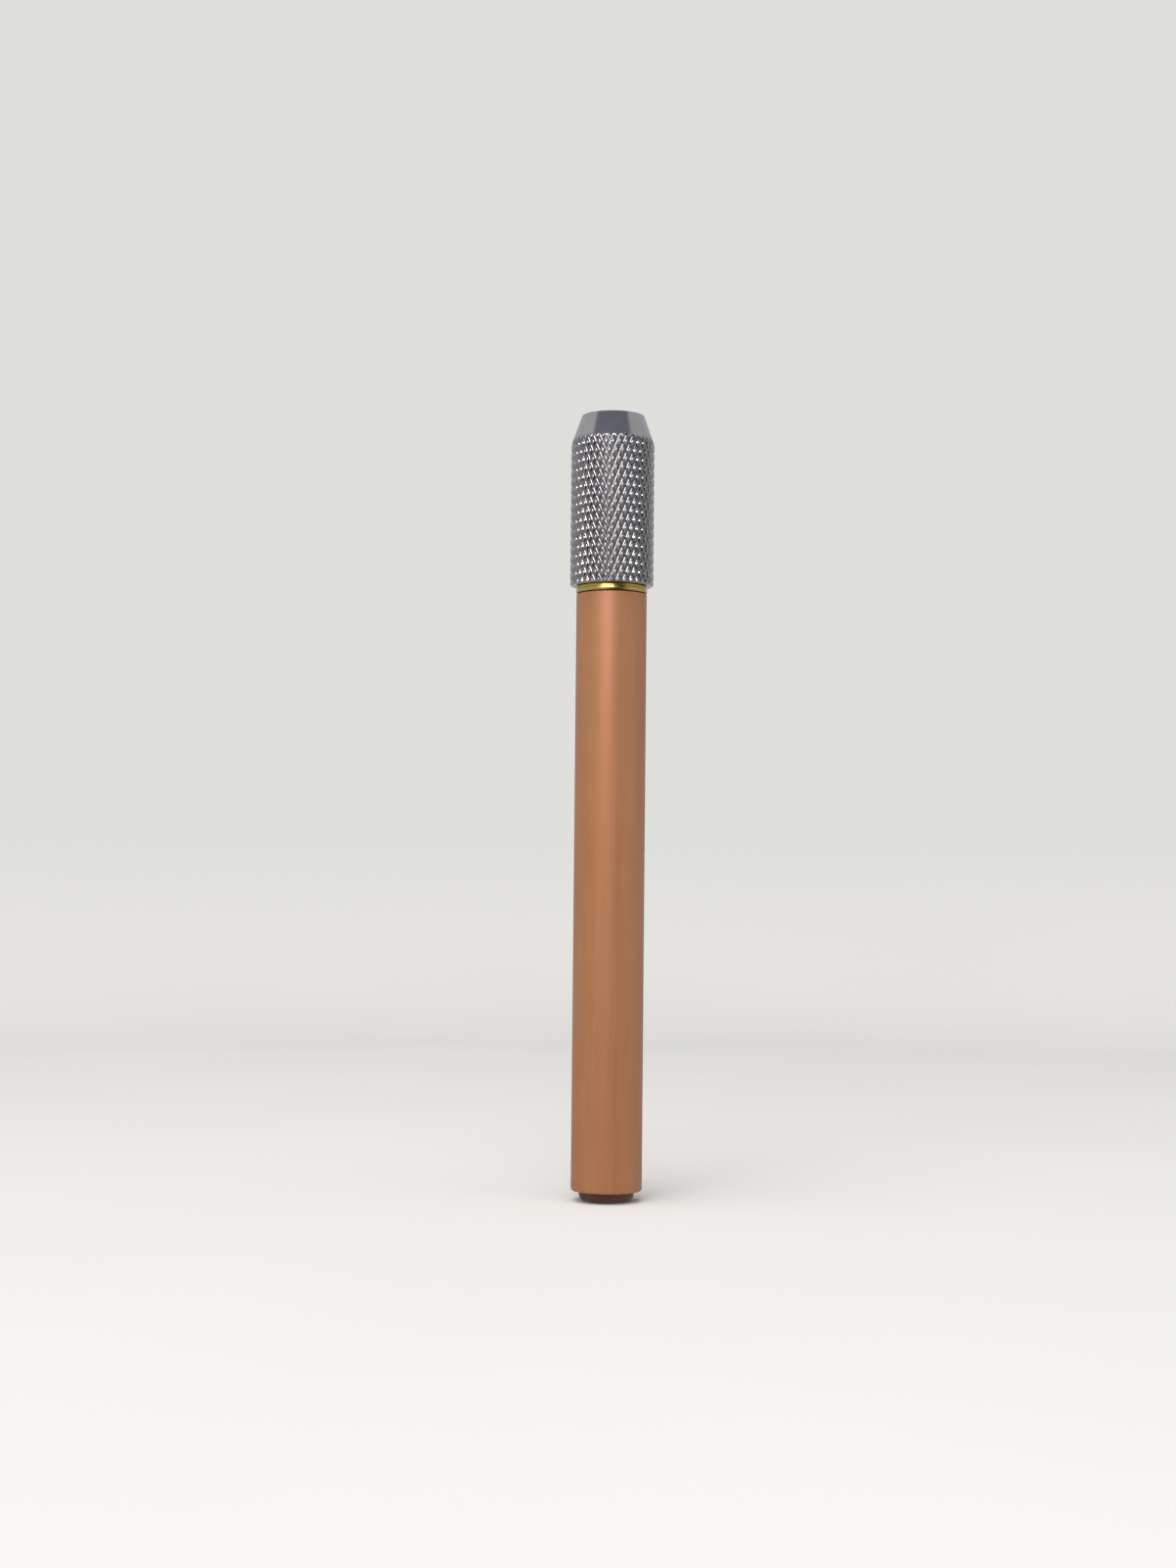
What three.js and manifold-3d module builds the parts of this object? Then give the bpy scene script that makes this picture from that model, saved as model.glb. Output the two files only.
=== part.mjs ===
// Pencil extender: a thin metal barrel that a short pencil slides into, a split brass collet
// pressed into its mouth, a knurled screw nut that squeezes the collet, and an end plug.
// Millimetres, +Z up. It stands on its end plug: the origin is the centre of the plug's face.
// It is drawn as it lies unused, with the nut screwed down and the collet squeezed shut.

import * as THREE from "three";
import { mergeVertices, toCreasedNormals } from "three/addons/utils/BufferGeometryUtils.js";
import Module from "manifold-3d";

const wasm = await Module();
wasm.setup();

// Every round surface has the same number of facets, in line with each other.
const FACETS = 36;
const FULL_TURN = 2 * Math.PI;
const SMOOTH_BELOW = THREE.MathUtils.degToRad(25);
const WELD_DISTANCE = 1e-4;

// Barrel: a drawn tube with a chamfer at its lower edge and a small one at its mouth.
const BARREL_RADIUS = 5.1;
const BARREL_BORE = 4.4;
const BARREL_LENGTH = 85.8;
const BARREL_LOWER_CHAMFER = 0.4;
const BARREL_UPPER_CHAMFER = 0.1;

// End plug: a shank pressed into the tube and a round button that stands proud of it.
const BUTTON_RADIUS = 3.95;
const BUTTON_HEIGHT = 1.5;
const BUTTON_EDGE = 1.0;
const BUTTON_EDGE_STEPS = 5;
const PLUG_SHANK_LENGTH = 5.0;
const PLUG_LEAD_IN = 0.4;

// Collet: a shank in the tube, a flange over its mouth, a threaded neck and four fingers.
const COLLET_BORE = 4.0;
const COLLET_SHANK_LENGTH = 10.0;
const PRESS_GAP = 0.02;
const FLANGE_RADIUS = 5.15;
const FLANGE_SHOULDER_RADIUS = 4.98;
const FLANGE_HEIGHT = 1.05;
const FLANGE_BAND = 0.66;
const FLANGE_SHOULDER_CHAMFER = 0.08;
const SEAT_GAP = 0.05;
const NECK_RADIUS = 4.6;
const NECK_LENGTH = 8.5;
const SHANK_LEAD_IN = 0.3;

// Screw thread, right-handed, between the collet's neck and the nut.
const PITCH = 1.0;
const MALE_CREST = 5.0;
const MALE_TURNS = 7;
const MALE_TOP_BELOW_NECK = 0.8;
const FEMALE_CREST = 4.68;
const FEMALE_TURNS = 6;
const CREST_HALF_WIDTH = 0.1;
const FLANK_SLOPE = 0.7;
const RIDGE_SINK = 0.1;
const RUN_OUT = 0.25;
const RUN_OUT_START = 0.15;

// Fingers: the split end of the collet. Each one bends inwards at its root.
const FINGER_COUNT = 4;
const FINGER_LENGTH = 16.0;
const FINGER_ROOT_GAP = 0.1;
const FINGER_RADIUS = 4.45;
const FINGER_HEAD_RADIUS = 4.62;
const FINGER_FLEX_LENGTH = 9.0;
const FINGER_HEAD_RAMP = 1.2;
const FINGER_TIP_CHAMFER = 0.2;
const FINGER_SQUEEZE = THREE.MathUtils.degToRad(1.8);
const FINGER_HINGE_RADIUS = 4.25;
const SLOT_WIDTH = 1.1;

// Nut: one turned piece, in two nodes, the knurled sleeve and the plain nose.
const NUT_RADIUS = 6.05;
const NUT_LENGTH = 24.9;
const NUT_SEAT_GAP = 0.1;
const NUT_LOWER_CHAMFER = 0.25;
const NUT_BORE = 5.12;
const NUT_LEAD_IN = 0.25;
const CONE_HEIGHT = 4.26;
const CONE_TOP_RADIUS = 4.55;
const NOSE_HEIGHT = 3.45;
const NOSE_GAP = 0.05;
const MOUTH_RADIUS = 4.2;
const MOUTH_DEPTH = 0.6;
const TAPER_SLOPE = 0.12;

// Heights that follow from the sizes above.
const BARREL_FOOT = BUTTON_HEIGHT;
const BARREL_MOUTH = BARREL_FOOT + BARREL_LENGTH;
const FLANGE_FOOT = BARREL_MOUTH + SEAT_GAP;
const FLANGE_TOP = FLANGE_FOOT + FLANGE_HEIGHT;
const NECK_TOP = FLANGE_TOP + NECK_LENGTH;
const MALE_TOP = NECK_TOP - MALE_TOP_BELOW_NECK;
const FEMALE_TOP = MALE_TOP - PITCH / 2;
const FINGER_ROOT = NECK_TOP + FINGER_ROOT_GAP;
const NUT_FOOT = FLANGE_TOP + NUT_SEAT_GAP;
const NUT_TOP = NUT_FOOT + NUT_LENGTH;
const CONE_FOOT = NUT_TOP - CONE_HEIGHT;
const NOSE_FOOT = NUT_TOP - NOSE_HEIGHT;
const SLEEVE_TOP = NOSE_FOOT - NOSE_GAP;
const MOUTH_FOOT = NUT_TOP - MOUTH_DEPTH;
const TAPER_FOOT = MOUTH_FOOT - (NUT_BORE - MOUTH_RADIUS) / TAPER_SLOPE;

const copperPaint = new THREE.MeshStandardMaterial({ color: 0xb07a56, roughness: 0.38, metalness: 0.85 });
const brass = new THREE.MeshStandardMaterial({ color: 0xc9a94f, roughness: 0.2, metalness: 1.0 });
const chrome = new THREE.MeshStandardMaterial({ color: 0xa9adb2, roughness: 0.16, metalness: 1.0 });
const brownPlastic = new THREE.MeshStandardMaterial({ color: 0x4a2c1d, roughness: 0.5, metalness: 0.0 });

/** A body of revolution about +Z. The outline runs up its outside and down its inside. */
function turned(outline) {
  const points = outline.map(([radius, height]) => new THREE.Vector2(radius, height));
  return new THREE.LatheGeometry(points, FACETS).rotateX(Math.PI / 2);
}

/** A turned ring: its outline closes on itself. */
function turnedRing(outline) {
  return turned([...outline, outline[0]]);
}

/** The solid inside a closed geometry. */
function toSolid(geometry) {
  const bare = geometry.clone();
  bare.deleteAttribute("normal");
  bare.deleteAttribute("uv");
  const welded = mergeVertices(bare, WELD_DISTANCE);
  return new wasm.Manifold(new wasm.Mesh({
    numProp: 3,
    vertProperties: welded.attributes.position.array,
    triVerts: Uint32Array.from(welded.index.array),
  }));
}

/** The geometry of a solid's skin. */
function toGeometry(solid) {
  const skin = solid.getMesh();
  const geometry = new THREE.BufferGeometry();
  geometry.setAttribute("position", new THREE.BufferAttribute(skin.vertProperties, skin.numProp));
  geometry.setIndex(new THREE.BufferAttribute(skin.triVerts, 1));
  return toCreasedNormals(geometry, SMOOTH_BELOW);
}

function node(name, geometry, material) {
  const mesh = new THREE.Mesh(geometry, material);
  mesh.name = name;
  return mesh;
}

/** The nut's outer cone: its radius at a height. */
function coneRadius(height) {
  const risen = (height - CONE_FOOT) / CONE_HEIGHT;
  return NUT_RADIUS + (CONE_TOP_RADIUS - NUT_RADIUS) * risen;
}

/** The nut's inner taper, which presses on the fingers' heads: its radius at a height. */
function taperRadius(height) {
  return NUT_BORE - TAPER_SLOPE * (height - TAPER_FOOT);
}

/**
 * A thread ridge that joins a wall at wallRadius and ends at crestRadius. Its section is extruded
 * along a straight line, one unit to a turn, and then wound down round the axis from topHeight.
 * At both ends the ridge runs out into the wall.
 */
function threadRidge(wallRadius, crestRadius, topHeight, turns) {
  const outward = Math.sign(crestRadius - wallRadius);
  const rootRadius = wallRadius - outward * RIDGE_SINK;
  const rootHalfWidth = CREST_HALF_WIDTH + FLANK_SLOPE * Math.abs(crestRadius - rootRadius);
  const section = new THREE.Shape([
    new THREE.Vector2(rootRadius, -rootHalfWidth),
    new THREE.Vector2(crestRadius, -CREST_HALF_WIDTH),
    new THREE.Vector2(crestRadius, CREST_HALF_WIDTH),
    new THREE.Vector2(rootRadius, rootHalfWidth),
  ]);
  const ridge = new THREE.ExtrudeGeometry(section, {
    depth: turns,
    steps: turns * FACETS,
    bevelEnabled: false,
  });
  const position = ridge.attributes.position;
  for (let i = 0; i < position.count; i += 1) {
    const turn = position.getZ(i);
    const fromEnd = Math.min(turn, turns - turn) / RUN_OUT;
    const fullness = Math.min(1, RUN_OUT_START + (1 - RUN_OUT_START) * fromEnd);
    const radius = rootRadius + (position.getX(i) - rootRadius) * fullness;
    const angle = -FULL_TURN * turn;
    const height = topHeight - PITCH * turn + position.getY(i);
    position.setXYZ(i, radius * Math.cos(angle), radius * Math.sin(angle), height);
  }
  return ridge;
}

function barrelTube() {
  const outline = [
    [BARREL_RADIUS - BARREL_LOWER_CHAMFER, BARREL_FOOT],
    [BARREL_RADIUS, BARREL_FOOT + BARREL_LOWER_CHAMFER],
    [BARREL_RADIUS, BARREL_MOUTH - BARREL_UPPER_CHAMFER],
    [BARREL_RADIUS - BARREL_UPPER_CHAMFER, BARREL_MOUTH],
    [BARREL_BORE, BARREL_MOUTH],
    [BARREL_BORE, BARREL_FOOT],
  ];
  return node("barrel_tube", turnedRing(outline), copperPaint);
}

function endPlug() {
  const shankRadius = BARREL_BORE - PRESS_GAP;
  const shankTop = BARREL_FOOT + PLUG_SHANK_LENGTH;
  const flatRadius = BUTTON_RADIUS - BUTTON_EDGE;
  const outline = [[0, 0]];
  for (let i = 0; i <= BUTTON_EDGE_STEPS; i += 1) {
    const angle = (Math.PI / 2) * (i / BUTTON_EDGE_STEPS);
    const radius = flatRadius + BUTTON_EDGE * Math.sin(angle);
    outline.push([radius, BUTTON_EDGE * (1 - Math.cos(angle))]);
  }
  outline.push(
    [BUTTON_RADIUS, BARREL_FOOT],
    [shankRadius, BARREL_FOOT],
    [shankRadius, shankTop - PLUG_LEAD_IN],
    [shankRadius - PLUG_LEAD_IN, shankTop],
    [0, shankTop],
  );
  return node("end_plug", turned(outline), brownPlastic);
}

function colletBody() {
  const shankRadius = BARREL_BORE - PRESS_GAP;
  const shankFoot = BARREL_MOUTH - COLLET_SHANK_LENGTH;
  const bandTop = FLANGE_FOOT + FLANGE_BAND;
  const outline = [
    [shankRadius - SHANK_LEAD_IN, shankFoot],
    [shankRadius, shankFoot + SHANK_LEAD_IN],
    [shankRadius, FLANGE_FOOT],
    [FLANGE_RADIUS, FLANGE_FOOT],
    [FLANGE_RADIUS, bandTop],
    [FLANGE_SHOULDER_RADIUS, bandTop + FLANGE_SHOULDER_CHAMFER],
    [FLANGE_SHOULDER_RADIUS, FLANGE_TOP],
    [NECK_RADIUS, FLANGE_TOP],
    [NECK_RADIUS, NECK_TOP],
    [COLLET_BORE, NECK_TOP],
    [COLLET_BORE, shankFoot],
  ];
  const core = toSolid(turnedRing(outline));
  const ridge = toSolid(threadRidge(NECK_RADIUS, MALE_CREST, MALE_TOP, MALE_TURNS));
  return node("collet_body", toGeometry(core.add(ridge)), brass);
}

/** One finger about +X, relaxed, with its bending line on the origin. */
function fingerGeometry() {
  const rampFoot = FINGER_ROOT + FINGER_FLEX_LENGTH;
  const tip = FINGER_ROOT + FINGER_LENGTH;
  const ring = toSolid(turnedRing([
    [FINGER_RADIUS, FINGER_ROOT],
    [FINGER_RADIUS, rampFoot],
    [FINGER_HEAD_RADIUS, rampFoot + FINGER_HEAD_RAMP],
    [FINGER_HEAD_RADIUS, tip - FINGER_TIP_CHAMFER],
    [FINGER_HEAD_RADIUS - FINGER_TIP_CHAMFER, tip],
    [COLLET_BORE + FINGER_TIP_CHAMFER, tip],
    [COLLET_BORE, tip - FINGER_TIP_CHAMFER],
    [COLLET_BORE, FINGER_ROOT],
  ]));
  // The sector between two slots. Its sides lie along the slots, half a slot's width off centre.
  const corner = SLOT_WIDTH / Math.SQRT2;
  const reach = 2 * FINGER_HEAD_RADIUS;
  const sector = new THREE.Shape([
    new THREE.Vector2(corner, 0),
    new THREE.Vector2(corner + reach, -reach),
    new THREE.Vector2(corner + reach, reach),
  ]);
  const spare = 1;
  const wedge = new THREE.ExtrudeGeometry(sector, {
    depth: FINGER_LENGTH + 2 * spare,
    bevelEnabled: false,
  });
  wedge.translate(0, 0, FINGER_ROOT - spare);
  const finger = toGeometry(ring.intersect(toSolid(wedge)));
  return finger.translate(-FINGER_HINGE_RADIUS, 0, -FINGER_ROOT);
}

/** The four fingers, each turned to its place and squeezed towards the axis. */
function colletFingers() {
  const geometry = fingerGeometry();
  const fingers = new THREE.Group();
  for (let i = 0; i < FINGER_COUNT; i += 1) {
    const finger = node(`collet_jaw_${i + 1}`, geometry, brass);
    finger.position.set(FINGER_HINGE_RADIUS, 0, FINGER_ROOT);
    finger.rotation.y = -FINGER_SQUEEZE;
    const place = new THREE.Group();
    place.rotation.z = FULL_TURN * (i / FINGER_COUNT);
    place.add(finger);
    fingers.add(place);
  }
  return fingers;
}

function clampNut() {
  const sleeve = toSolid(turnedRing([
    [NUT_RADIUS - NUT_LOWER_CHAMFER, NUT_FOOT],
    [NUT_RADIUS, NUT_FOOT + NUT_LOWER_CHAMFER],
    [NUT_RADIUS, CONE_FOOT],
    [coneRadius(SLEEVE_TOP), SLEEVE_TOP],
    [taperRadius(SLEEVE_TOP), SLEEVE_TOP],
    [NUT_BORE, TAPER_FOOT],
    [NUT_BORE, NUT_FOOT + NUT_LEAD_IN],
    [NUT_BORE + NUT_LEAD_IN, NUT_FOOT],
  ]));
  const ridge = toSolid(threadRidge(NUT_BORE, FEMALE_CREST, FEMALE_TOP, FEMALE_TURNS));
  return node("clamp_nut", toGeometry(sleeve.add(ridge)), chrome);
}

function nutNose() {
  const outline = [
    [coneRadius(NOSE_FOOT), NOSE_FOOT],
    [CONE_TOP_RADIUS, NUT_TOP],
    [MOUTH_RADIUS, NUT_TOP],
    [MOUTH_RADIUS, MOUTH_FOOT],
    [taperRadius(NOSE_FOOT), NOSE_FOOT],
  ];
  return node("nut_nose", turnedRing(outline), chrome);
}

const pencilExtender = new THREE.Group();
pencilExtender.add(barrelTube(), endPlug(), colletBody(), colletFingers(), clampNut(), nutNose());

export default pencilExtender;
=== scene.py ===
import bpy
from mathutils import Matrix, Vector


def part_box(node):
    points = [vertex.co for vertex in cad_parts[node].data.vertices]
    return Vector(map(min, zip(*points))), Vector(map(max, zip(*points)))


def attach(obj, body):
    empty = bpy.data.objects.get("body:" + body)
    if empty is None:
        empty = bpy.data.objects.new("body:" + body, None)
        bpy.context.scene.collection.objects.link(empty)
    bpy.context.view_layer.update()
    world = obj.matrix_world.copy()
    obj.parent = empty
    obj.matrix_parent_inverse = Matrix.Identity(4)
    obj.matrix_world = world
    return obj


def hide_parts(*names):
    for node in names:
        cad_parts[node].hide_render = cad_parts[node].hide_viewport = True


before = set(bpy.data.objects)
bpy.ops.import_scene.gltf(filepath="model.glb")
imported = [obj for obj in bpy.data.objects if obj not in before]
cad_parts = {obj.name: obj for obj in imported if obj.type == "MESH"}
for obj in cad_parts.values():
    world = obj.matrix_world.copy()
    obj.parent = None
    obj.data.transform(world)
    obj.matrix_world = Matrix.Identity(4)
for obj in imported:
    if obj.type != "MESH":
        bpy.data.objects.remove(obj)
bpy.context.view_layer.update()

import math

import bpy
from mathutils import Matrix

MM = 0.001

# ---------------------------------------------------------------- sizes, in millimetres

FACETS = 240  # round every turned surface but the nut's
ARC_STEPS = 5  # in each rounded corner

BARREL_WALL = 0.7
BARREL_FOOT_ROUNDING = 0.38
BUTTON_RADIUS = 3.95
BUTTON_ROUNDING = 1.0

COLLET_BORE = 4.0
COLLET_SHANK = 4.38
COLLET_NECK = 4.6
COLLET_CREST = 5.0  # of the thread on its neck
COLLET_THREAD_END = 0.8  # below the neck's top
COLLET_THREAD_TURNS = 7
NECK_START = 0.3  # above the flange, where the neck's rows begin
NECK_END = 0.4  # below the neck's top, where they end
SEAT_GAP = 0.03  # between the flange and the nut
FLANGE_STEP_HEIGHT = 0.45
FLANGE_STEP = 0.12

FINGER_ROOT, FINGER_TIP = 96.92, 113.0
FINGER_HINGE_RADIUS, FINGER_HINGE_HEIGHT = 4.25, 97.0
FINGER_SPRING_RADIUS = 4.45
FINGER_HEAD_RADIUS = 4.54
FINGER_HEAD_FOOT, FINGER_HEAD_FULL = 106.0, 107.2
FINGER_SLOT = 1.1
FINGER_SQUEEZE = math.radians(1.8)

NUT_RADIUS = 6.05
NUT_BORE = 5.12
NUT_THREAD_CREST = 4.68
NUT_THREAD_START = 0.3  # above the nut's foot
NUT_THREAD_TURNS = 5
NUT_THREAD_LAG = 1.5  # turns between the upper ends of the neck's thread and of the nut's
NUT_CHAMFER = 0.25  # at the foot of the bore
CONE_HEIGHT = 4.26
CONE_SLOPE = 1.5 / CONE_HEIGHT
TAPER_FOOT, TAPER_SLOPE = 105.133, 0.12  # of the bore, which squeezes the fingers
NOSE_RADIUS = 4.55
MOUTH_RADIUS = 4.2
MOUTH_DEPTH = 0.6

PITCH = 1.0
ROWS_PER_PITCH = 10
FLANK_SLOPE = 0.7  # along the axis for each millimetre that a thread ridge falls
CREST_HALF_WIDTH = 0.1
RUN_OUT_TURNS = 0.3

KNURL_LINES = 38  # grooves of one hand round the nut
KNURL_PERIOD = 2.5  # along the axis, from one groove to the next of the same hand
KNURL_STEPS = 16  # mesh steps from groove to groove
KNURL_WIDTH = 0.7  # the part of that distance that a groove takes up
KNURL_RIGHT_DEPTH = 0.265  # of the grooves that lean right
KNURL_LEFT_DEPTH = 0.25  # of the grooves that lean left
KNURL_START = 0.04  # above the nut's foot, where the grooves begin
KNURL_FADE = 0.12  # over which they reach their full depth
RIM_ROUNDING = 0.3  # of the nut's foot
GROOVE = "groove"  # the mesh attribute that holds how dark a point is painted: painted shade in the knurl's grooves, dirt and painted shade in the collet's recess

JOINT_HEIGHT = 0.16  # of the dark line between the barrel and the brass ring
JOINT_RECESS = 0.35
RING_CROWN = 0.05  # how far the brass ring's middle stands out

# ---------------------------------------------------------------- colours of the room

ROOM_LEFT = (0.47, 0.47, 0.47)
ROOM_RIGHT = (0.43, 0.44, 0.44)
ROOM_DARK = (0.18, 0.185, 0.22)
ROOM_FRONT = (0.06, 0.055, 0.06)
ROOM_FLOOR = (0.36, 0.31, 0.27)
ROOM_SEEN = (0.78, 0.775, 0.76)  # where the camera looks over the backdrop
WALL_GLOW = (0.735, 0.73, 0.71)
FLOOR_COLOUR = (0.785, 0.777, 0.755)
FLOOR_DARKER = (0.770, 0.762, 0.740)


def low(node):
    """The lowest height of a CAD node, in millimetres."""
    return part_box(node)[0][2] / MM


def high(node):
    """The highest height of a CAD node, in millimetres."""
    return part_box(node)[1][2] / MM


def radius(node):
    """The largest radius of a CAD node, in millimetres."""
    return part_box(node)[1][0] / MM


# ---------------------------------------------------------------- mesh helpers


def mesh_object(name, points, faces, material, sharp_angle=32):
    """A closed mesh from points in millimetres, smooth but for edges sharper than sharp_angle."""
    mesh = bpy.data.meshes.new(name)
    mesh.from_pydata([(x * MM, y * MM, z * MM) for x, y, z in points], [], faces)
    mesh.validate()
    mesh.shade_smooth()
    mesh.set_sharp_from_angle(angle=math.radians(sharp_angle))
    piece = bpy.data.objects.new(name, mesh)
    bpy.context.scene.collection.objects.link(piece)
    piece.data.materials.append(material)
    return piece


def rounded(outline):
    """An outline's points, with an arc at each corner that names a radius: (radius, height, corner)."""
    points = []
    count = len(outline)
    for i, (x, z, corner) in enumerate(outline):
        if corner == 0:
            points.append((x, z))
            continue
        before = outline[i - 1]
        after = outline[(i + 1) % count]
        into = unit(before[0] - x, before[1] - z)
        out = unit(after[0] - x, after[1] - z)
        cosine = into[0] * out[0] + into[1] * out[1]
        half = math.acos(max(-1.0, min(1.0, cosine))) / 2
        reach = corner / math.tan(half)
        middle = unit(into[0] + out[0], into[1] + out[1])
        centre_x = x + middle[0] * corner / math.sin(half)
        centre_z = z + middle[1] * corner / math.sin(half)
        start = math.atan2(z + into[1] * reach - centre_z, x + into[0] * reach - centre_x)
        end = math.atan2(z + out[1] * reach - centre_z, x + out[0] * reach - centre_x)
        sweep = (end - start + math.pi) % (2 * math.pi) - math.pi
        for step in range(ARC_STEPS + 1):
            angle = start + sweep * step / ARC_STEPS
            points.append((centre_x + corner * math.cos(angle), centre_z + corner * math.sin(angle)))
    return points


def unit(x, z):
    """The direction of (x, z), one long."""
    length = math.hypot(x, z)
    return x / length, z / length


class Skin:
    """Rings of points about the axis, joined into a closed skin as they are added."""

    def __init__(self):
        self.points = []
        self.faces = []
        self.rings = []

    def ring(self, count, place):
        """Adds a ring of count points; place(angle) gives (radius, height)."""
        first = len(self.points)
        for i in range(count):
            angle = 2 * math.pi * i / count
            r, z = place(angle)
            self.points.append((r * math.cos(angle), r * math.sin(angle), z))
        self.rings.append(range(first, first + count))
        return self.rings[-1]

    def plain(self, count, r, z):
        return self.ring(count, lambda angle: (r, z))

    def join(self, a, b):
        """Faces from ring a to ring b, facing out where b is further along a counter-clockwise outline."""
        if len(a) == len(b):
            count = len(a)
            for i in range(count):
                j = (i + 1) % count
                self.faces.append((a[i], a[j], b[j], b[i]))
            return
        fine, coarse = (a, b) if len(a) > len(b) else (b, a)
        flip = fine is b
        ratio = len(fine) // len(coarse)
        for i in range(len(coarse)):
            j = (i + 1) % len(coarse)
            fan = [fine[(i * ratio + k) % len(fine)] for k in range(ratio + 1)]
            for k in range(ratio):
                tip = coarse[i] if k < (ratio + 1) // 2 else coarse[j]
                face = (fan[k], fan[k + 1], tip)
                self.faces.append(face[::-1] if flip else face)
            bridge = (fan[(ratio + 1) // 2], coarse[j], coarse[i])
            self.faces.append(bridge[::-1] if flip else bridge)

    def join_all(self, closed=True):
        for a, b in zip(self.rings, self.rings[1:]):
            self.join(a, b)
        if closed:
            self.join(self.rings[-1], self.rings[0])

    def cap(self, ring, height, facing_up):
        """Closes a ring with a fan to a point on the axis."""
        centre = len(self.points)
        self.points.append((0.0, 0.0, height))
        count = len(ring)
        for i in range(count):
            j = (i + 1) % count
            face = (ring[i], ring[j], centre)
            self.faces.append(face if facing_up else face[::-1])


def turned(name, outline, material, count=FACETS):
    """A ring-shaped body of revolution. The outline runs up its outside and down its inside."""
    skin = Skin()
    for r, z in rounded(outline):
        skin.plain(count, r, z)
    skin.join_all()
    return mesh_object(name, skin.points, skin.faces, material)


def ridge_height(distance, full):
    """How far a thread ridge of a full height stands at a distance from its middle."""
    fallen = max(0.0, distance - CREST_HALF_WIDTH) / FLANK_SLOPE
    return max(0.0, full - fallen)


def thread_distance(angle, height, top):
    """The distance along the axis from the nearest turn of a right-hand helix, and the turns from its top."""
    turns = (top - height) / PITCH + angle / (2 * math.pi)
    nearest = round(turns)
    return abs(turns - nearest) * PITCH, nearest - angle / (2 * math.pi)


def run_out(turns_from_top, total):
    """1 along a thread, falling to 0 where it runs out at both ends."""
    from_end = min(turns_from_top, total - turns_from_top)
    return max(0.0, min(1.0, from_end / RUN_OUT_TURNS))


# ---------------------------------------------------------------- materials

MIX_INPUTS = (0, 6, 7)  # a Mix node's sockets for the factor and the two colours
MIX_OUTPUT = 2


def mix_colours(tree, factor, a, b, blend="MIX"):
    """Mixes two colours. Each value is a number, a colour or the output of another node."""
    made = tree.nodes.new("ShaderNodeMix")
    made.data_type = "RGBA"
    made.blend_type = blend
    for value, socket in zip((factor, a, b), (made.inputs[i] for i in MIX_INPUTS)):
        if isinstance(value, (int, float)):
            socket.default_value = value
        elif isinstance(value, tuple):
            socket.default_value = (*value, 1.0)
        else:
            tree.links.new(value, socket)
    return made.outputs[MIX_OUTPUT]


class Nodes:
    """Short ways to add nodes to a material's tree."""

    def __init__(self, name):
        self.material = bpy.data.materials.new(name)
        self.material.use_nodes = True
        self.tree = self.material.node_tree
        self.tree.nodes.clear()
        self.shader = self.add("ShaderNodeBsdfPrincipled")
        output = self.add("ShaderNodeOutputMaterial")
        self.link(self.shader.outputs["BSDF"], output.inputs["Surface"])
        self.place = self.add("ShaderNodeTexCoord").outputs["Object"]

    def add(self, kind, **settings):
        made = self.tree.nodes.new(kind)
        for key, value in settings.items():
            setattr(made, key, value)
        return made

    def link(self, output, socket):
        self.tree.links.new(output, socket)

    def scaled(self, x, y, z):
        """The object's own coordinates, stretched."""
        mapping = self.add("ShaderNodeMapping")
        mapping.inputs["Scale"].default_value = (x, y, z)
        self.link(self.place, mapping.inputs["Vector"])
        return mapping.outputs["Vector"]

    def noise(self, where, scale, detail=3.0, roughness=0.5):
        made = self.add("ShaderNodeTexNoise")
        made.inputs["Scale"].default_value = scale
        made.inputs["Detail"].default_value = detail
        made.inputs["Roughness"].default_value = roughness
        self.link(where, made.inputs["Vector"])
        return made.outputs["Fac"]

    def cells(self, where, scale):
        """A random grey for each little cell."""
        made = self.add("ShaderNodeTexVoronoi")
        made.inputs["Scale"].default_value = scale
        self.link(where, made.inputs["Vector"])
        return made.outputs["Color"]

    def ramp(self, factor, stops):
        made = self.add("ShaderNodeValToRGB")
        ramp = made.color_ramp
        while len(ramp.elements) < len(stops):
            ramp.elements.new(0.5)
        for element, (at, colour) in zip(ramp.elements, stops):
            element.position = at
            element.color = (*colour, 1.0)
        self.link(factor, made.inputs["Fac"])
        return made.outputs["Color"]

    def range(self, factor, to_low, to_high, from_low=0.0, from_high=1.0):
        made = self.add("ShaderNodeMapRange")
        made.inputs["From Min"].default_value = from_low
        made.inputs["From Max"].default_value = from_high
        made.inputs["To Min"].default_value = to_low
        made.inputs["To Max"].default_value = to_high
        self.link(factor, made.inputs["Value"])
        return made.outputs["Result"]

    def mix(self, factor, a, b, blend="MIX"):
        return mix_colours(self.tree, factor, a, b, blend)

    def bump(self, height, strength, distance):
        made = self.add("ShaderNodeBump")
        made.inputs["Strength"].default_value = strength
        made.inputs["Distance"].default_value = distance
        self.link(height, made.inputs["Height"])
        self.link(made.outputs["Normal"], self.shader.inputs["Normal"])

    def set(self, **values):
        for key, value in values.items():
            self.shader.inputs[key.replace("_", " ")].default_value = value


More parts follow.
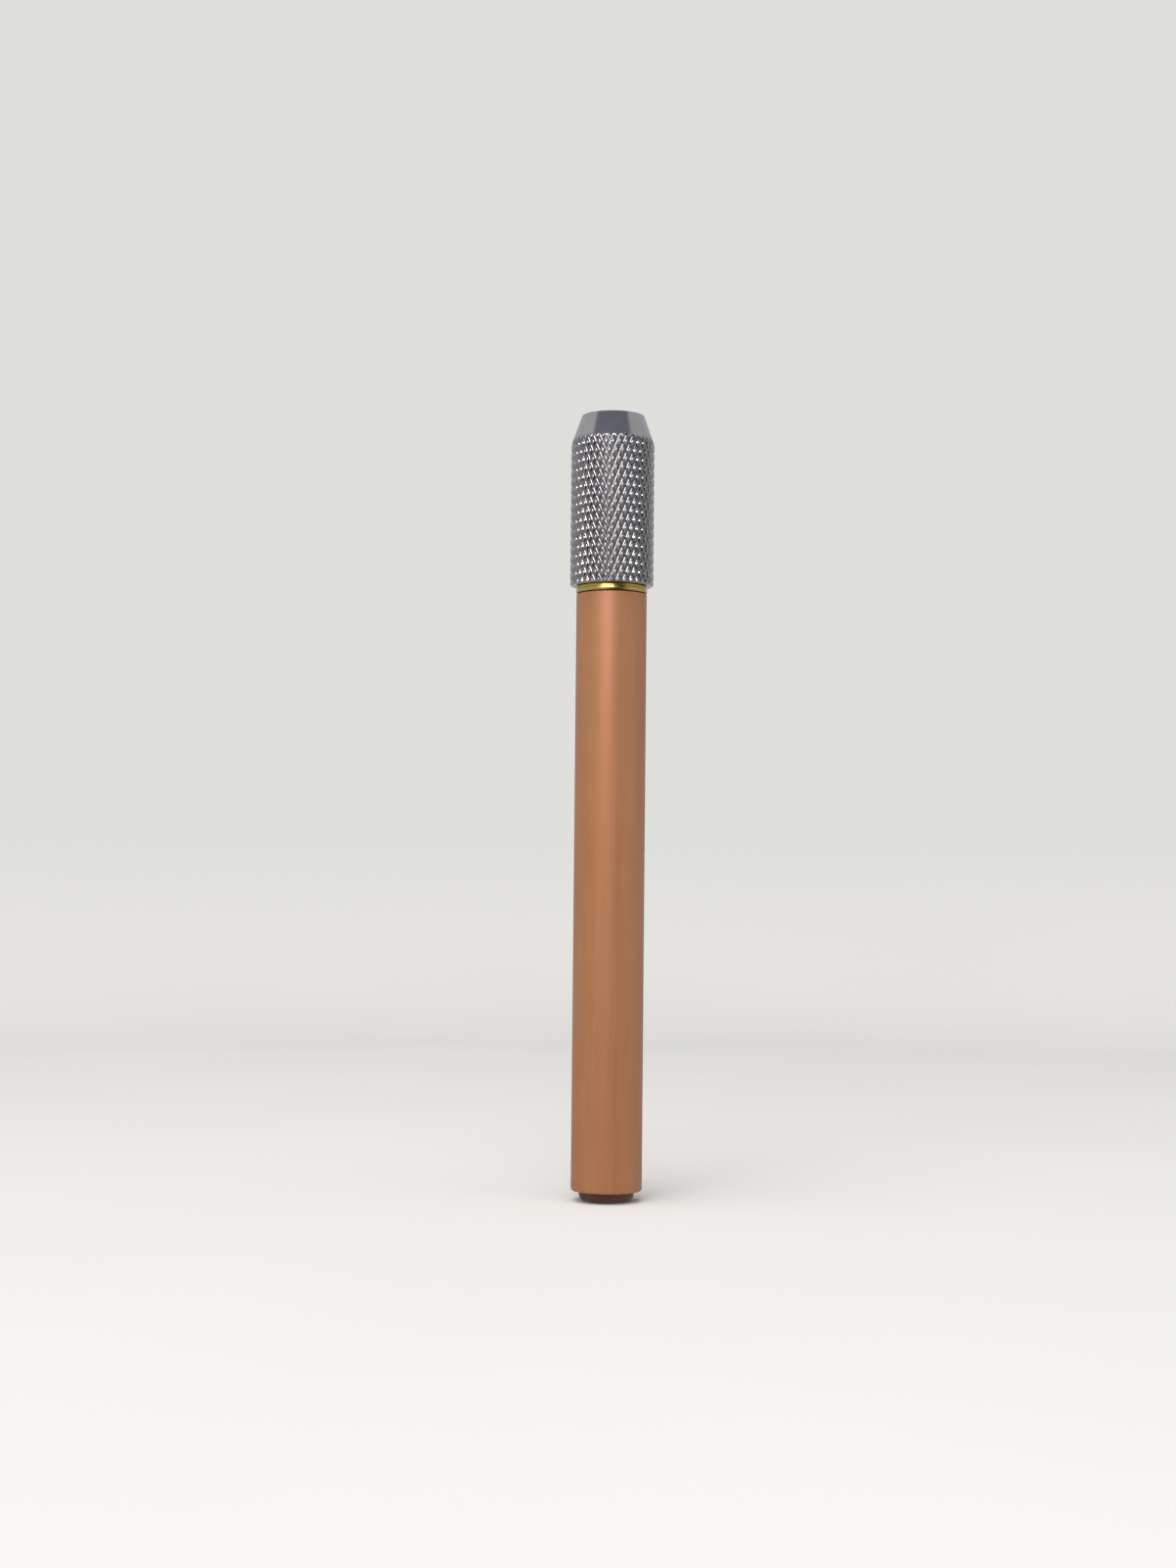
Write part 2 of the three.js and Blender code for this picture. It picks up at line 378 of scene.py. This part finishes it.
def copper_paint():
    """Satin metallic paint: fine flakes under a clear coat, with faint bands and streaks along the tube."""
    n = Nodes("copper_paint")
    n.set(Metallic=0.35, Coat_Weight=0.5, Coat_Roughness=0.34, Specular_Tint=(0.85, 0.66, 0.58, 1.0))
    flakes = n.cells(n.scaled(1, 1, 1), 9000.0)
    streaks = n.noise(n.scaled(1, 1, 0.05), 1500.0, 4.0)
    bands = n.noise(n.scaled(1, 1, 0.03), 320.0, 2.0)
    clouds = n.noise(n.scaled(1, 1, 0.5), 120.0, 3.0)
    orange = n.ramp(clouds, [(0.3, (0.422, 0.172, 0.070)), (0.7, (0.450, 0.190, 0.080))])
    pink = n.ramp(clouds, [(0.3, (0.418, 0.179, 0.080)), (0.7, (0.445, 0.196, 0.090))])
    base = n.mix(n.range(bands, 0.0, 1.0, 0.40, 0.60), orange, pink)
    streaked = n.mix(n.range(streaks, 0.0, 0.22, 0.45, 0.75), base, (0.56, 0.28, 0.15))
    sparkled = n.mix(1.0, streaked, n.range(flakes, 0.94, 1.06), "MULTIPLY")
    n.link(sparkled, n.shader.inputs["Base Color"])
    n.link(n.range(streaks, 0.44, 0.54), n.shader.inputs["Roughness"])
    n.bump(n.noise(n.scaled(1, 1, 0.3), 4200.0, 2.0), 0.06, 0.00002)
    return n.material


def polished_brass():
    """Turned and polished brass, with the faint rings of the tool, and dirt and painted shade in the recess
    under the ring.
    """
    n = Nodes("brass")
    n.set(Metallic=1.0)
    rings = n.noise(n.scaled(0.05, 0.05, 1), 9000.0, 2.0)
    stain = n.noise(n.scaled(1, 1, 1), 700.0, 4.0)
    base = n.ramp(stain, [(0.35, (0.56, 0.42, 0.13)), (0.65, (0.76, 0.58, 0.20))])
    groove = n.add("ShaderNodeAttribute", attribute_name=GROOVE).outputs["Fac"]
    # dirt and painted shade: the recess under the ring is painted dark brown
    n.link(n.mix(groove, base, (0.10, 0.045, 0.025)), n.shader.inputs["Base Color"])
    n.link(n.range(stain, 0.21, 0.33), n.shader.inputs["Roughness"])
    n.bump(rings, 0.15, 0.00001)
    return n.material


def bright_chrome(name, roughness):
    """Chrome plate over a turned surface, a little smeared by handling, with painted shade in its grooves."""
    n = Nodes(name)
    n.set(Metallic=1.0)
    smears = n.noise(n.scaled(1, 1, 1), 380.0, 5.0, 0.6)
    rings = n.noise(n.scaled(0.05, 0.05, 1), 7000.0, 2.0)
    base = n.ramp(smears, [(0.3, (0.575, 0.565, 0.59)), (0.7, (0.65, 0.64, 0.67))])
    groove = n.add("ShaderNodeAttribute", attribute_name=GROOVE).outputs["Fac"]
    # painted shade: the deeper a groove is cut, the nearer to black its chrome is painted
    groove_shade = n.range(groove, 0.0, 0.6, 0.3, 1.0)
    n.link(n.mix(groove_shade, base, (0.09, 0.075, 0.085)), n.shader.inputs["Base Color"])
    n.link(n.range(smears, roughness, roughness + 0.08), n.shader.inputs["Roughness"])
    n.bump(rings, 0.08, 0.00001)
    return n.material


def brown_plastic():
    """Moulded plastic with a fine grain, in a dark reddish brown that is painted shade: the shadow under the
    barrel's foot.
    """
    n = Nodes("brown_plastic")
    n.set(Metallic=0.0, Specular_IOR_Level=0.5)
    grain = n.noise(n.scaled(1, 1, 1), 2600.0, 4.0)
    clouds = n.noise(n.scaled(1, 1, 1), 300.0, 2.0)
    # painted shade: the button's dark brown is the colour of the shadow under the foot
    base = n.ramp(clouds, [(0.35, (0.070, 0.029, 0.018)), (0.65, (0.105, 0.046, 0.029))])
    n.link(base, n.shader.inputs["Base Color"])
    n.link(n.range(grain, 0.38, 0.52), n.shader.inputs["Roughness"])
    n.bump(grain, 0.25, 0.00004)
    return n.material


def matt(name):
    """The floor and backdrop: plain, pale and matt, and the backdrop an even pale glow above its foot."""
    n = Nodes(name)
    n.set(Roughness=0.85, Specular_IOR_Level=0.2, Emission_Color=(*WALL_GLOW, 1.0))
    patches = n.noise(n.scaled(1, 1, 1), 14.0, 2.0)
    height = n.add("ShaderNodeSeparateXYZ")
    n.link(n.place, height.inputs[0])
    glow = n.range(height.outputs["Z"], 0.0, 1.0, 0.002, 0.06)
    pale = n.ramp(patches, [(0.3, FLOOR_DARKER), (0.7, FLOOR_COLOUR)])
    n.link(n.mix(glow, pale, (0.0, 0.0, 0.0)), n.shader.inputs["Base Color"])
    n.link(glow, n.shader.inputs["Emission Strength"])
    return n.material


# ---------------------------------------------------------------- pieces


def add_dirt_and_shade(piece, values):
    """Writes how dark each of a piece's first points is painted, from 0 to 1: dirt and painted shade."""
    groove = piece.data.attributes.new(GROOVE, "FLOAT", "POINT")
    for i, value in enumerate(values):
        groove.data[i].value = value


def make_barrel(material):
    """The painted tube, open at both ends."""
    foot, mouth, r = low("barrel_tube"), high("barrel_tube"), radius("barrel_tube")
    bore = r - BARREL_WALL
    edge = 0.06
    piece = turned("barrel_shell", [
        (r, foot, BARREL_FOOT_ROUNDING),
        (r, mouth, 0.1),
        (bore, mouth, edge),
        (bore, foot, edge),
    ], material)
    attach(piece, "barrel")
    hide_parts("barrel_tube")


def make_end_plug(material):
    """A round-edged button, and above it the shank that is pressed into the tube."""
    foot, top, shank = low("end_plug"), high("end_plug"), radius("end_plug")
    tube_foot = low("barrel_tube")
    outline = rounded([
        (BUTTON_RADIUS / 2, foot, 0),
        (BUTTON_RADIUS, foot, BUTTON_ROUNDING),
        (BUTTON_RADIUS, tube_foot, 0.05),
        (shank, tube_foot, 0.05),
        (shank, top, 0.4),
        (shank / 2, top, 0),
    ])
    skin = Skin()
    for r, z in outline:
        skin.plain(FACETS, r, z)
    skin.join_all(closed=False)
    skin.cap(skin.rings[0], foot, facing_up=False)
    skin.cap(skin.rings[-1], top, facing_up=True)
    piece = mesh_object("end_button", skin.points, skin.faces, material)
    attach(piece, "barrel")
    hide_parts("end_plug")


def make_collet(material):
    """The brass collet: shank, flange ring with a narrower upper step, threaded neck."""
    foot, top, flange = low("collet_body"), high("collet_body"), radius("collet_body")
    mouth = high("barrel_tube")
    seat = mouth + 0.01
    band_foot = mouth + JOINT_HEIGHT
    flange_top = low("clamp_nut") - SEAT_GAP
    band_top = flange_top - FLANGE_STEP_HEIGHT
    step = flange - FLANGE_STEP
    neck_foot = flange_top + NECK_START
    below = rounded([
        (COLLET_BORE, foot + 0.3, 0),
        (COLLET_BORE, foot, 0.1),
        (COLLET_SHANK, foot, 0.2),
        (COLLET_SHANK, seat, 0),
        (flange - JOINT_RECESS, seat, 0),
        (flange - JOINT_RECESS, band_foot, 0),
        (flange - RING_CROWN, band_foot, 0.03),
        (flange, (band_foot + band_top) / 2, 0.6),
        (flange - RING_CROWN, band_top, 0.05),
        (step, band_top + 0.04, 0.03),
        (step, flange_top, 0.05),
        (COLLET_NECK, flange_top, 0.1),
        (COLLET_NECK, neck_foot, 0),
    ])
    skin = Skin()
    for r, z in below:
        skin.plain(FACETS, r, z)
    thread_top = top - COLLET_THREAD_END
    rows = round((top - NECK_END - neck_foot) * ROWS_PER_PITCH / PITCH)
    for row in range(1, rows + 1):
        height = neck_foot + row * PITCH / ROWS_PER_PITCH

        def place(angle, height=height):
            distance, turns = thread_distance(angle, height, thread_top)
            ridge = ridge_height(distance, COLLET_CREST - COLLET_NECK)
            return COLLET_NECK + ridge * run_out(turns, COLLET_THREAD_TURNS), height

        skin.ring(FACETS, place)
    above = rounded([
        (COLLET_NECK, top - 0.3, 0),
        (COLLET_NECK, top, 0.1),
        (COLLET_BORE, top, 0.1),
        (COLLET_BORE, top - 0.2, 0),
    ])
    for r, z in above:
        skin.plain(FACETS, r, z)
    skin.join_all()
    piece = mesh_object("collet_ring", skin.points, skin.faces, material, sharp_angle=40)
    recess = flange - JOINT_RECESS / 2
    # dirt and painted shade: points inside the recess under the ring are painted dark
    add_dirt_and_shade(piece, [
        1.0 if math.hypot(x, y) < recess and z < flange_top else 0.0
        for x, y, z in skin.points
    ])
    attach(piece, "barrel")
    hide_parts("collet_body")


def make_jaw(number, material):
    """A finger of the collet, squeezed towards the axis about the bending line at its root."""
    outline = rounded([
        (FINGER_SPRING_RADIUS, FINGER_ROOT, 0),
        (FINGER_SPRING_RADIUS, FINGER_HEAD_FOOT, 0.8),
        (FINGER_HEAD_RADIUS, FINGER_HEAD_FULL, 0.8),
        (FINGER_HEAD_RADIUS, FINGER_TIP, 0.2),
        (COLLET_BORE, FINGER_TIP, 0.2),
        (COLLET_BORE, FINGER_ROOT, 0),
    ])
    cosine, sine = math.cos(FINGER_SQUEEZE), math.sin(FINGER_SQUEEZE)
    turn = math.pi / 2 * (number - 1)
    steps = 36
    points = []
    for r, z in outline:
        half = math.pi / 4 - math.asin(FINGER_SLOT / 2 / r)
        for step in range(steps + 1):
            angle = -half + 2 * half * step / steps
            x, y = r * math.cos(angle), r * math.sin(angle)
            out = x - FINGER_HINGE_RADIUS
            rise = z - FINGER_HINGE_HEIGHT
            bent_x = FINGER_HINGE_RADIUS + out * cosine - rise * sine
            bent_z = FINGER_HINGE_HEIGHT + out * sine + rise * cosine
            points.append((
                bent_x * math.cos(turn) - y * math.sin(turn),
                bent_x * math.sin(turn) + y * math.cos(turn),
                bent_z,
            ))
    count = len(outline)
    width = steps + 1
    faces = []
    for i in range(count):
        j = (i + 1) % count
        for step in range(steps):
            a, b = i * width + step, j * width + step
            faces.append((a, a + 1, b + 1, b))
    faces.append([i * width for i in range(count)])
    faces.append([i * width + steps for i in reversed(range(count))])
    piece = mesh_object(f"collet_finger_{number}", points, faces, material)
    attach(piece, f"jaw_{number}")
    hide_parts(f"collet_jaw_{number}")


def groove_distance(phase):
    """How far a phase is from the nearest groove's bottom: 0 there, and 1 half-way to the next groove."""
    step = phase % KNURL_STEPS
    return min(step, KNURL_STEPS - step) / (KNURL_STEPS / 2)


def groove_depth(phase, depth):
    """A round-bottomed groove's depth where steps are counted across it."""
    return depth * max(0.0, 1 - (groove_distance(phase) / KNURL_WIDTH) ** 2)


def knurl_depth(column, row):
    """How deep the knurling is, where whole steps count round the nut and along it."""
    return max(groove_depth(column - row, KNURL_RIGHT_DEPTH), groove_depth(column + row, KNURL_LEFT_DEPTH))


def make_sleeve(material):
    """The turning part of the nut: diamond knurling outside, thread and taper inside."""
    foot, top, r = low("clamp_nut"), high("clamp_nut"), radius("clamp_nut")
    cone_foot = high("nut_nose") - CONE_HEIGHT
    columns = KNURL_LINES * KNURL_STEPS
    inner_count = columns // 4
    row_height = KNURL_PERIOD / KNURL_STEPS
    skin = Skin()
    cuts = []

    def outer(height):
        """The turned outline that the knurling is cut below."""
        below_rounding = max(0.0, foot + RIM_ROUNDING - height)
        drop = RIM_ROUNDING - math.sqrt(max(0.0, RIM_ROUNDING**2 - below_rounding**2))
        return r - drop - max(0.0, height - cone_foot) * CONE_SLOPE

    rows = math.floor((top - foot - KNURL_START) / row_height)
    first_row = top - rows * row_height
    rim_rows = 5
    heights = [foot + (first_row - foot) * (k / rim_rows) ** 2 for k in range(rim_rows)]
    heights += [first_row + row_height * k for k in range(rows + 1)]
    for height in heights:
        row = (height - first_row) / row_height
        fade = max(0.0, min(1.0, (height - foot - KNURL_START) / KNURL_FADE))
        first = len(skin.points)
        for column in range(columns):
            angle = 2 * math.pi * column / columns
            here = min(outer(height), r - fade * knurl_depth(column, row))
            # how deep the knurling is cut at each point, which the chrome turns into painted shade in the
            # grooves
            cuts.append((r - here) / KNURL_RIGHT_DEPTH if here < outer(height) else 0.0)
            skin.points.append((here * math.cos(angle), here * math.sin(angle), height))
        skin.rings.append(range(first, first + columns))
    outer_rings = list(skin.rings)
    for index, (a, b) in enumerate(zip(outer_rings, outer_rings[1:])):
        row = round((heights[index] - first_row) / row_height)
        for i in range(columns):
            j = (i + 1) % columns
            if groove_distance(i + row + 1) < groove_distance(i - row):
                skin.faces.append((a[i], a[j], b[i]))
                skin.faces.append((a[j], b[j], b[i]))
            else:
                skin.faces.append((a[i], a[j], b[j]))
                skin.faces.append((a[i], b[j], b[i]))
    inner_top = NUT_BORE - TAPER_SLOPE * (top - TAPER_FOOT)
    inner = [skin.plain(inner_count, inner_top, top), skin.plain(inner_count, NUT_BORE, TAPER_FOOT)]
    thread_foot = foot + NUT_THREAD_START
    thread_top = high("collet_body") - COLLET_THREAD_END - PITCH * NUT_THREAD_LAG
    thread_rows = math.ceil((thread_top + CREST_HALF_WIDTH - thread_foot) * ROWS_PER_PITCH / PITCH)
    for k in range(thread_rows, -1, -1):
        height = thread_foot + k * PITCH / ROWS_PER_PITCH

        def place(angle, height=height):
            distance, turns = thread_distance(angle, height, thread_top)
            ridge = ridge_height(distance, NUT_BORE - NUT_THREAD_CREST)
            return NUT_BORE - ridge * run_out(turns, NUT_THREAD_TURNS), height

        inner.append(skin.ring(inner_count, place))
    inner.append(skin.plain(inner_count, NUT_BORE + NUT_CHAMFER, foot))
    skin.join(outer_rings[-1], inner[0])
    for a, b in zip(inner, inner[1:]):
        skin.join(a, b)
    skin.join(inner[-1], outer_rings[0])
    piece = mesh_object("knurled_sleeve", skin.points, skin.faces, material)
    for edge_line in piece.data.edges:  # the knurling itself is shaded smooth
        if max(edge_line.vertices) < len(cuts):
            edge_line.use_edge_sharp = False
    # painted shade in the grooves, darker where they are cut deeper
    add_dirt_and_shade(piece, cuts)
    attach(piece, "clamp_nut")
    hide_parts("clamp_nut")


def make_nose(material):
    """The plain end of the nut's cone, which meets the sleeve on a circle."""
    top = high("nut_nose")
    seam = high("clamp_nut") + 0.003
    outer_foot = NUT_RADIUS - (seam - (top - CONE_HEIGHT)) * CONE_SLOPE
    inner_foot = NUT_BORE - TAPER_SLOPE * (seam - TAPER_FOOT)
    piece = turned("nut_cone", [
        (outer_foot, seam, 0),
        (NOSE_RADIUS, top, 0.1),
        (MOUTH_RADIUS, top, 0.1),
        (MOUTH_RADIUS, top - MOUTH_DEPTH, 0),
        (inner_foot, seam, 0),
    ], material, count=KNURL_LINES * KNURL_STEPS)
    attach(piece, "nut_nose")
    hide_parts("nut_nose")


# ---------------------------------------------------------------- stage, light and camera

LIGHTS_AIM = 0.06  # metres


def stage_sheet(name, points, faces, material):
    """A part of the stage, from points in metres, which isn't seen in the object's reflections."""
    mesh = bpy.data.meshes.new(name)
    mesh.from_pydata(points, [], faces)
    mesh.shade_smooth()
    mesh.materials.append(material)
    sheet = bpy.data.objects.new(name, mesh)
    bpy.context.scene.collection.objects.link(sheet)
    sheet.visible_glossy = False
    return sheet


def make_stage():
    """A round pale floor and, all round it, a backdrop that sweeps up and that lights and shades nothing."""
    floor_radius, sweep, wall_top = 0.33, 0.25, 1.6
    columns, steps = 96, 24
    profile = [(floor_radius, 0.0)]
    for step in range(1, steps + 1):
        angle = math.pi / 2 * step / steps
        profile.append((floor_radius + sweep * math.sin(angle), sweep * (1 - math.cos(angle))))
    profile.append((floor_radius + sweep, wall_top))
    angles = [2 * math.pi * i / columns for i in range(columns)]
    points = [(r * math.cos(angle), r * math.sin(angle), z) for r, z in profile for angle in angles]
    wall = []
    for row in range(len(profile) - 1):
        for i in range(columns):
            a, b = row * columns + i, row * columns + (i + 1) % columns
            wall.append((a, b, b + columns, a + columns))
    material = matt("backdrop")
    stage_sheet("floor", points[:columns], [tuple(range(columns))], material)
    backdrop = stage_sheet("backdrop", points, wall, material)
    backdrop.visible_shadow = False
    backdrop.visible_diffuse = False


def aimed(azimuth, elevation):
    """A direction from angles in degrees: azimuth 0 is the camera's side, and positive is to its right."""
    a, e = math.radians(azimuth), math.radians(elevation)
    return math.sin(a) * math.cos(e), -math.cos(a) * math.cos(e), math.sin(e)


def area_light(name, azimuth, elevation, distance, width, height, power, colour):
    """A soft box that is aimed at the middle of the barrel, LIGHTS_AIM above the floor."""
    light = bpy.data.lights.new(name, "AREA")
    light.shape = "RECTANGLE"
    light.size, light.size_y = width, height
    light.energy = power
    light.color = colour
    lamp = bpy.data.objects.new(name, light)
    bpy.context.scene.collection.objects.link(lamp)
    lamp.location = [distance * part for part in aimed(azimuth, elevation)]
    lamp.location.z += LIGHTS_AIM
    lamp.rotation_euler = (math.pi / 2 - math.radians(elevation), 0, math.radians(azimuth))
    return lamp


def make_room():
    """A pale room's light, as a colour for each direction: darker above, below and in front on the right."""
    world = bpy.data.worlds.new("room")
    world.use_nodes = True
    tree = world.node_tree
    background = tree.nodes["Background"]
    background.inputs["Strength"].default_value = 1.0
    direction = tree.nodes.new("ShaderNodeTexCoord").outputs["Generated"]

    def towards(azimuth, elevation, near, far):
        """1 inside near degrees of a direction, 0 outside far."""
        dot = tree.nodes.new("ShaderNodeVectorMath")
        dot.operation = "DOT_PRODUCT"
        dot.inputs[1].default_value = aimed(azimuth, elevation)
        tree.links.new(direction, dot.inputs[0])
        fade = tree.nodes.new("ShaderNodeMapRange")
        fade.interpolation_type = "SMOOTHSTEP"
        fade.inputs["From Min"].default_value = math.cos(math.radians(far))
        fade.inputs["From Max"].default_value = math.cos(math.radians(near))
        tree.links.new(dot.outputs["Value"], fade.inputs["Value"])
        return fade.outputs["Result"]

    colour = mix_colours(tree, towards(-90, 20, near=60, far=120), ROOM_RIGHT, ROOM_LEFT)
    for patch, patch_colour in (
        (towards(-4, 58, near=38, far=46), ROOM_DARK),
        (towards(0, -90, near=62, far=82), ROOM_FLOOR),
        (towards(25, 26, near=17, far=24), ROOM_FRONT),
        (towards(18, -22, near=22, far=32), ROOM_FRONT),
    ):
        colour = mix_colours(tree, patch, colour, patch_colour)
    seen = tree.nodes.new("ShaderNodeLightPath").outputs["Is Camera Ray"]
    tree.links.new(mix_colours(tree, seen, colour, ROOM_SEEN), background.inputs["Color"])
    bpy.context.scene.world = world


def make_lights():
    """A window, the only lamp that shows in reflections, with a ceiling and a fill; then the room."""
    area_light(
        "window", azimuth=-15, elevation=26, distance=1.2,
        width=0.80, height=0.48, power=6.2, colour=(1.0, 0.98, 0.95),
    )
    ceiling = area_light(
        "ceiling", azimuth=-20, elevation=66, distance=1.6,
        width=1.4, height=1.4, power=21.0, colour=(1.0, 0.995, 0.985),
    )
    ceiling.visible_glossy = False
    fill = area_light(
        "fill", azimuth=62, elevation=12, distance=1.2,
        width=0.8, height=0.8, power=2.0, colour=(1.0, 0.99, 0.97),
    )
    fill.visible_glossy = False
    make_room()


def make_camera():
    """The viewpoint: level with the lower half of the barrel and looking slightly up."""
    focal_length, sensor = 50.6, 36.0
    distance, height = 0.3184, 0.04488
    pitch, yaw, roll = 2.68, 0.57, 0.554
    camera = bpy.data.cameras.new("camera")
    camera.lens, camera.sensor_width = focal_length, sensor
    camera.clip_start, camera.clip_end = 0.01, 20
    viewer = bpy.data.objects.new("camera", camera)
    bpy.context.scene.collection.objects.link(viewer)
    viewer.location = (0, -distance, height)
    aim = (
        Matrix.Rotation(math.radians(yaw), 3, "Z")
        @ Matrix.Rotation(math.radians(90 + pitch), 3, "X")
        @ Matrix.Rotation(math.radians(roll), 3, "Z")
    )
    viewer.rotation_euler = aim.to_euler()
    bpy.context.scene.camera = viewer


brass = polished_brass()
make_camera()
make_stage()
make_lights()
make_barrel(copper_paint())
make_end_plug(brown_plastic())
make_collet(brass)
for number in (1, 2, 3, 4):
    make_jaw(number, brass)
make_sleeve(bright_chrome("knurled_chrome", 0.09))
make_nose(bright_chrome("chrome", 0.10))
bpy.context.scene.view_settings.view_transform = "Standard"
